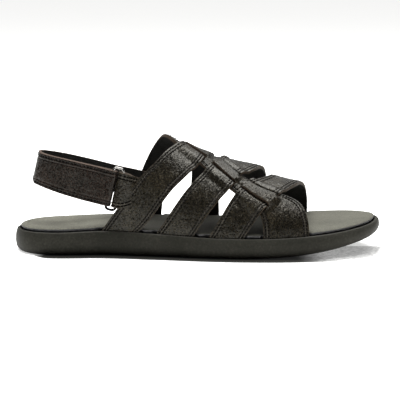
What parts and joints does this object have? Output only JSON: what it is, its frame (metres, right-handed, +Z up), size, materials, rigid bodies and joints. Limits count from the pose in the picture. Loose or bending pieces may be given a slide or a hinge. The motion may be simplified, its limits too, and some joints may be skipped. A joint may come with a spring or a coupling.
{
  "type": "huarache sandal",
  "caption": "Right shoe: strappy leather sandal with woven straps over the foot, a heel strap folded through a metal ring, a padded footbed and a moulded sole.",
  "frame": {"origin": "on the floor, under the middle of the sole's bounding box", "axes": "+X to the toe, +Y to the medial side (towards the other foot), +Z up"},
  "size_m": [0.288, 0.1043, 0.0903],
  "materials": {
    "sole": "matt moulded rubber, dark olive grey",
    "footbed": "padded suede-like leather, taupe grey, unprinted",
    "upper": "waxed dark brown leather with a speckled grain, double stitched edges",
    "heel_strap": "waxed dark brown leather with raw brown cut edges",
    "ring": "polished nickel wire"
  },
  "bodies": {
    "root": {"sole": "sole", "footbed": "footbed", "upper": "upper", "heel_strap": "heel_strap", "ring": "ring"}
  },
  "joints": []
}
